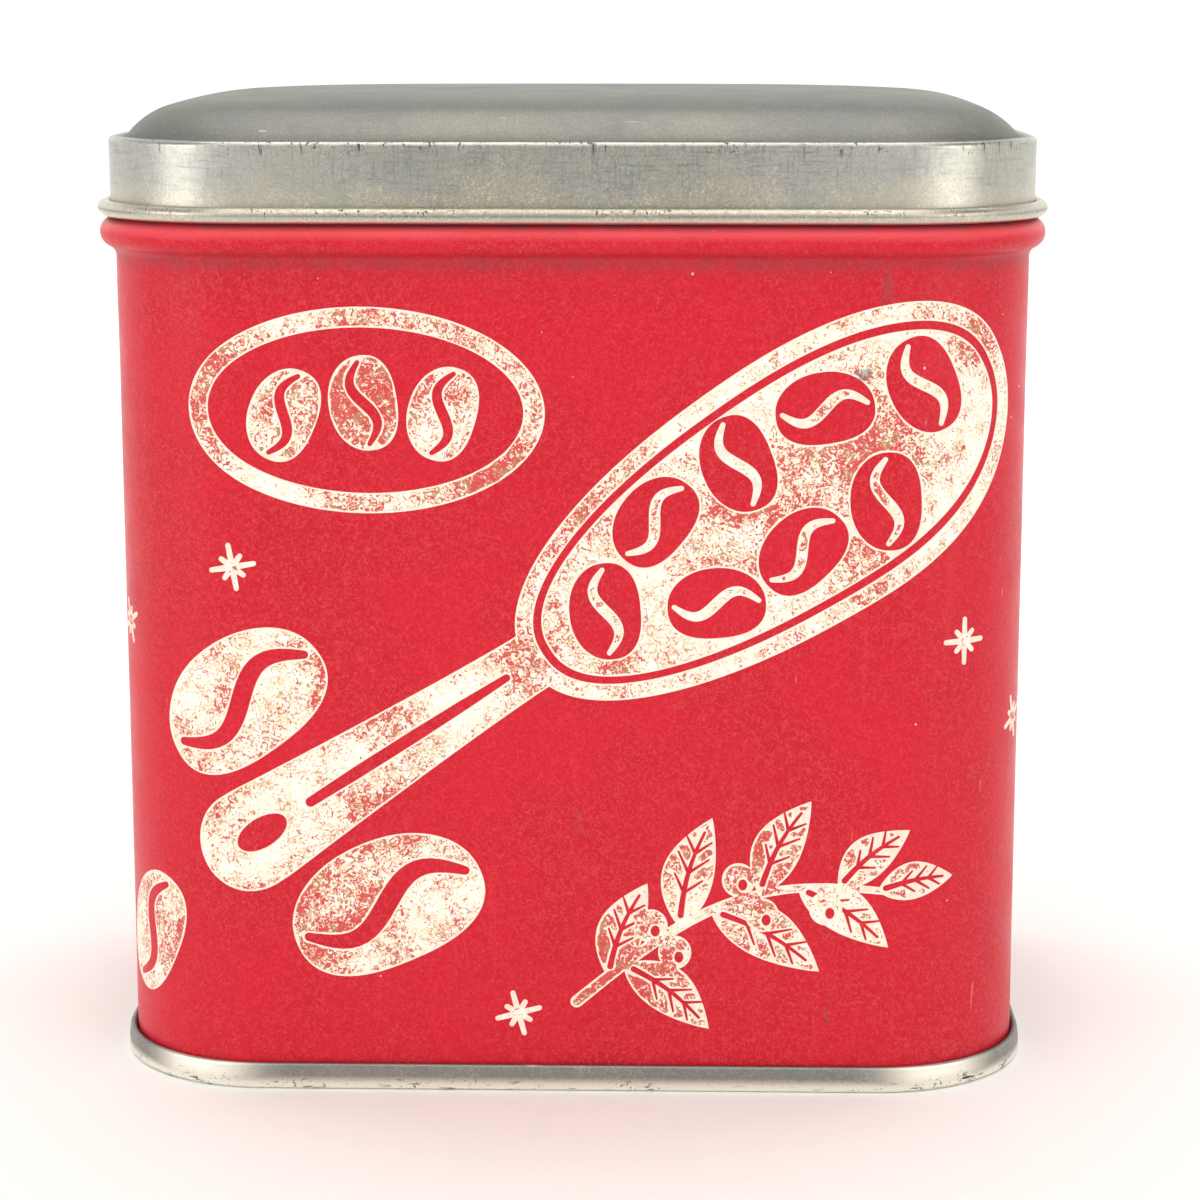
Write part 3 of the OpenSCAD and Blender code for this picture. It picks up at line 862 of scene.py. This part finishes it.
def ink_triangles(layers):
    """Points and triangles of everything that the layers leave inked, with a grid of points inside it."""
    loops = [np.asarray(loop, float) for _, loop in layers]
    points, edges = [], []
    for loop in loops:
        first = len(points)
        points += [Vector(p) for p in loop]
        edges += [(first + k, first + (k + 1) % len(loop)) for k in range(len(loop))]
    outline = np.concatenate(loops)
    low, high = outline.min(0), outline.max(0)
    gx, gy = np.meshgrid(np.arange(low[0], high[0], GRID), np.arange(low[1], high[1], GRID * 0.87))
    gx[1::2] += GRID / 2
    fill = np.column_stack([gx.ravel(), gy.ravel()])
    fill = fill[shown(fill, layers)]
    points += [Vector(p) for p in fill if np.min(np.sum((outline - p) ** 2, axis=1)) > CLEAR ** 2]
    flat, _, tris, *_ = delaunay_2d_cdt(points, edges, [], 0, 1e-5)
    flat = np.array([tuple(p) for p in flat])
    tris = np.array([t for t in tris if len(t) == 3])
    a, b = flat[tris[:, 1]] - flat[tris[:, 0]], flat[tris[:, 2]] - flat[tris[:, 0]]
    size = a[:, 0] * b[:, 1] - a[:, 1] * b[:, 0]
    tris = tris[shown(flat[tris].mean(axis=1), layers) & (np.abs(size) > 1e-6)]
    used, tris = np.unique(tris, return_inverse=True)
    return flat[used], tris.reshape(-1, 3)


def border_distance(flat, border):
    """How far each point lies from the nearest border edge."""
    nearest = np.full(len(flat), np.inf)
    for p, q in border:
        along = flat[q] - flat[p]
        t = np.clip(((flat - flat[p]) @ along) / max(along @ along, 1e-12), 0, 1)
        nearest = np.minimum(nearest, np.linalg.norm(flat - flat[p] - t[:, None] * along, axis=1))
    return nearest


def print_piece(name, layers, material, shift=0.0, wear=0.0):
    """A thin closed layer of ink that wraps round the wall, shift further round than it is drawn."""
    flat, tris = ink_triangles(layers)
    directed = {(t[k], t[(k + 1) % 3]) for t in tris for k in range(3)}
    border = [(p, q) for p, q in directed if (q, p) not in directed]
    rim = border_distance(flat, border)
    base, normal = around(flat[:, 0] + shift)
    sheet = wall_wave(flat[:, 0] + shift, flat[:, 1])
    top = np.column_stack([base + (sheet + INK)[:, None] * normal, flat[:, 1]])
    bottom = np.column_stack([base + (sheet - ROOT)[:, None] * normal, flat[:, 1]])
    n = len(flat)
    faces = [tuple(int(v) for v in t) for t in tris]
    faces += [tuple(int(v) + n for v in t[::-1]) for t in tris]
    faces += [(int(q), int(p), int(p) + n, int(q) + n) for p, q in border]
    obj = make_object(name, np.concatenate([top, bottom]), faces, [material], 40)
    set_attribute(obj, "rim", np.concatenate([rim, rim]))
    set_attribute(obj, "wear", np.full(2 * n, wear))
    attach(obj, "body")


def scoop_art():
    """A long coffee scoop lying on the slant, with beans knocked out of its bowl."""
    centre, lean = (23.8, 71.0), 33.0

    def put(shape, at=(0, 0), turn=0):
        """Places a shape that is drawn round the bowl's middle, with the handle towards -X."""
        return turned(turned(shape, at, turn), centre, lean)

    bowl = ellipse(34, 15.6, power=2.3)
    bowl[:, 1] *= 1 + 0.0035 * bowl[:, 0]
    t = np.linspace(-74, -28, 30)
    handle = ribbon(np.column_stack([t, 0 * t]), 7.2 + 5.2 * np.clip((-t - 34) / 38, 0, 1) ** 1.3)
    layers = [(True, put(bowl)), (True, put(handle)), (False, put(ellipse(3.4, 1.8), (-72.0, 0)))]
    groove = ribbon([(-65, 0), (-58, 0), (-50, 0), (-43, 0), (-37, 0)], [1.2, 1.5, 1.5, 1.3, 0.9])
    layers.append((False, put(groove)))
    hollow = bowl * [0.935, 0.86]
    layers += [(False, put(hollow)), (True, put(bowl * [0.905, 0.80]))]
    spots = [(-22.5, 0.2, 62), (-12.0, 6.0, 18), (-11.5, -6.2, -28), (0.0, 6.6, 78), (0.6, -6.3, 12),
             (11.5, 6.4, -24), (12.2, -6.6, 60), (23.2, 2.6, 82)]
    for x, y, turn in spots:
        outline, crease = bean(11.6, 8.4)
        layers += [(False, put(outline, (x, y), turn)), (True, put(crease, (x, y), turn))]
    return layers


def badge_art():
    """An oval ring round three beans."""
    at = (-23.6, 82.6)
    layers = [(True, turned(ellipse(21.0, 12.1), at, -1)), (False, turned(ellipse(18.5, 9.7), at, -1))]
    for x, y, turn in ((-9.2, -0.6, 68), (0.2, 0.9, 98), (9.4, -0.4, 74)):
        outline, crease = bean(11.2, 8.0)
        spot = (at[0] + x, at[1] + y)
        layers += [(True, turned(outline, spot, turn)), (False, turned(crease, spot, turn))]
    return layers


def bean_art(at, turn, length, width):
    """One loose bean."""
    outline, crease = bean(length, width)
    return [(True, turned(outline, at, turn)), (False, turned(crease, at, turn))]


def sprig_art():
    """A coffee sprig: a curved stem, leaves on both sides and round cherries."""
    t = np.linspace(0, 1, 40)
    stem = np.column_stack([1 + 37 * t, 11 + 14 * t + 5.5 * np.sin(math.pi * t)])
    layers = [(True, ribbon(stem, 1.5 - 0.6 * t))]
    leaves = ((0.10, 68, 12.5, 5.6), (0.34, 74, 14.0, 6.2), (0.60, 62, 13.0, 5.8), (0.84, 40, 11.0, 5.0),
              (0.16, -38, 13.0, 5.8), (0.44, -30, 15.0, 6.4), (0.72, -34, 13.0, 5.6), (0.985, 8, 9.5, 4.6))
    for at, turn, length, width in leaves:
        root = stem[int(round(at * 39))]
        outline, cuts = leaf(length, width)
        layers.append((True, turned(outline, root, turn)))
        layers += [(False, turned(cut, root, turn)) for cut in cuts]
    for at, side in ((0.24, 1), (0.30, -1), (0.52, 1), (0.58, -1), (0.80, -1)):
        root = stem[int(round(at * 39))] + np.array([0.4, 2.6 * side])
        layers.append((True, turned(ellipse(2.0, 2.1, 0.4), root, 0)))
        layers.append((False, turned(ellipse(0.55, 0.7, 0.3), root + np.array([0.5, -0.6]), 0)))
    return layers


def sparkle_art(at, turn):
    """A small burst of eight short rays, long and short by turns."""
    size = 2.6
    layers = []
    for k in range(8):
        reach = size * (1.0 if k % 2 == 0 else 0.62)
        ray = [(reach * r, 0) for r in (0.0, 0.5, 1.0)]
        layers.append((True, turned(ribbon(ray, [0.75, 0.7, 0.62]), at, turn + 45 * k)))
    return layers


def cup_art(at, scale):
    """A cup on a saucer with three curls of steam, and a bean in its middle."""
    t = np.linspace(0, 1, 24)
    wall = np.column_stack([13 - 5.2 * t ** 2.2, -11.5 * t])
    bowl = np.concatenate([wall, (wall * [-1, 1])[::-1]])
    a = np.linspace(-2.0, 1.9, 24)
    handle = np.column_stack([12.6 + 4.8 * np.cos(a), -4.4 + 3.6 * np.sin(a)])
    saucer = ellipse(19, 2.1, power=2.6)
    layers = [(True, ribbon(handle, 1.9)), (True, bowl), (True, turned(saucer, (0, -14.6), 0))]
    outline, crease = bean(8.4, 6.0)
    layers += [(False, turned(outline, (0, -5.4), 30)), (True, turned(crease, (0, -5.4), 30))]
    for dx, tall in ((-6, 10), (0, 13), (6, 10)):
        steam = np.column_stack([dx + 1.5 * np.sin(2 * math.pi * t), 3 + tall * t])
        layers.append((True, ribbon(steam, 0.9 + 1.0 * np.sin(math.pi * t))))
    return [(paint, turned(loop, at, 0, scale)) for paint, loop in layers]


def build_print(ink):
    """The same picture on the front and the back, and a smaller one on each side."""
    sparkles = ((-39.5, 64.0, 10), (-58.0, 55.5, 25), (47.5, 55.0, 0), (58.5, 44.0, 20), (-6.0, 9.5, 15))
    for face, shift in (("front", 0.0), ("back", AROUND / 2)):
        print_piece(f"print_{face}_scoop", scoop_art(), ink, shift)
        print_piece(f"print_{face}_badge", badge_art(), ink, shift, 0.4)
        print_piece(f"print_{face}_bean_upper", bean_art((-38.5, 47.5), 36, 22, 14.5), ink, shift)
        print_piece(f"print_{face}_bean_lower", bean_art((-21.5, 22.5), 24, 24, 15.5), ink, shift)
        print_piece(f"print_{face}_bean_left", bean_art((-53.0, 17.5), 62, 16.5, 11), ink, shift)
        print_piece(f"print_{face}_sprig", sprig_art(), ink, shift, 0.7)
        for k, (x, z, turn) in enumerate(sparkles, 1):
            print_piece(f"print_{face}_sparkle_{k}", sparkle_art((x, z), turn), ink, shift, 0.5)
    side = FLAT_X + ARC + FLAT_Y
    for name, at in (("right", side), ("left", -side)):
        print_piece(f"print_{name}_cup", cup_art((0, 63), 1.15), ink, at)
        print_piece(f"print_{name}_bean_1", bean_art((-9.0, 26.5), 38, 15, 10.2), ink, at, 0.3)
        print_piece(f"print_{name}_bean_2", bean_art((8.5, 17.5), -14, 15, 10.2), ink, at)
        print_piece(f"print_{name}_sparkle", sparkle_art((13.0, 92.5), 12), ink, at, 0.5)


# --- camera, floor and light -------------------------------------------------------------------------

def build_camera():
    """A long lens almost square to the front, a little to the right of the middle and above the lid."""
    width = BODY_W * MM
    right, away, height = 0.1123 * width, 3.6185 * width, 1.1797 * width
    tilt, swing = math.radians(10.92), math.radians(1.358)
    camera = bpy.data.objects.new("camera", bpy.data.cameras.new("camera"))
    bpy.context.scene.collection.objects.link(camera)
    camera.location = (right, -away, height)
    camera.rotation_euler = (math.pi / 2 - tilt, 0, swing)
    camera.data.sensor_width = 36.0
    camera.data.lens = 93.64
    camera.data.clip_start = 0.01
    bpy.context.scene.camera = camera


def area_light(name, place, target, size, power, color=(1, 1, 1)):
    """A rectangular lamp at a place, turned to a target."""
    light = bpy.data.lights.new(name, "AREA")
    light.shape = "RECTANGLE"
    light.size, light.size_y = size
    light.energy, light.color = power, color
    obj = bpy.data.objects.new(name, light)
    bpy.context.scene.collection.objects.link(obj)
    obj.location = place
    obj.rotation_euler = (Vector(target) - obj.location).to_track_quat("-Z", "Y").to_euler()


def build_floor():
    """A pale floor that curves up into a wall all the way round, and glows faintly there."""
    n = Nodes("pale_floor")
    color = n.mix(n.noise(8, 3), FLOOR, FLOOR_PALE)
    n.feed(n.shader.inputs["Emission Strength"], n.ramp(n.height(), 0, 400, 0.0, 0.35))
    material = n.finish(color, 0.7, 0.0, Emission_Color=(1.0, 0.995, 0.98, 1.0))
    material.cycles.emission_sampling = "NONE"
    radius, sweep, top = 2.2, 0.9, 2.2
    path = [(0.02, 0.0), (0.6, 0.0)] + arc(radius, sweep, sweep, sweep, -90, 0, 13) + [(radius + sweep, top)]
    turns = np.linspace(0, 2 * math.pi, 96, endpoint=False)
    loops = [np.array([(r * math.cos(a), r * math.sin(a), z) for a in turns]) / MM for r, z in path]
    faces = bridge(loops, False) + [tuple(range(len(turns)))[::-1]]
    floor = make_object("floor_sweep", np.concatenate(loops), faces, [material])


def build_light():
    """A dim warm world, a low key lamp on each side, two high lamps, and one for the backdrop."""
    world = bpy.data.worlds.new("studio")
    bpy.context.scene.world = world
    world.use_nodes = True
    background = world.node_tree.nodes["Background"]
    background.inputs["Color"].default_value = (1.0, 0.995, 0.96, 1.0)
    background.inputs["Strength"].default_value = 0.12
    warm = (1.0, 0.985, 0.93)
    area_light("key_left", (-0.78, -0.50, 0.24), (0, 0, 0.12), (0.42, 0.40), 1.65, warm)
    area_light("key_right", (0.77, -0.62, 0.24), (0, 0, 0.12), (0.55, 0.40), 1.55, warm)
    area_light("front_high", (0, -1.2, 1.6), (0, -0.1, 0.1), (2.6, 1.0), 14.0, warm)
    area_light("overhead", (0, 0, 1.7), (0, 0, 0), (1.3, 1.3), 13.0, warm)
    area_light("backdrop", (0, 0.7, 1.6), (0, 1.9, 0.5), (3.0, 0.8), 35.0)


# --- the whole tin -----------------------------------------------------------------------------------

build_camera()
build_floor()
build_light()

lacquer, inside = red_lacquer(), inner_tin()
body = build_body(lacquer, inside)
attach(body, "body")
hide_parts("body_shell")

fold = build_side_seam(inside)
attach(fold, "body")

# The seam's tin is darkened all over as a painted dark reflection
bottom = build_bottom(tinplate("seam_tinplate", painted_shade=0.42))
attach(bottom, "body")
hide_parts("bottom_end")

lid = build_lid(tinplate("lid_tinplate", skirt=True), inside)
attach(lid, "lid")
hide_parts("lid")

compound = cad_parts["seam_compound"]
compound.data.materials.clear()
compound.data.materials.append(compound_rubber())

build_print(cream_ink())

bpy.context.scene.view_settings.view_transform = "Standard"
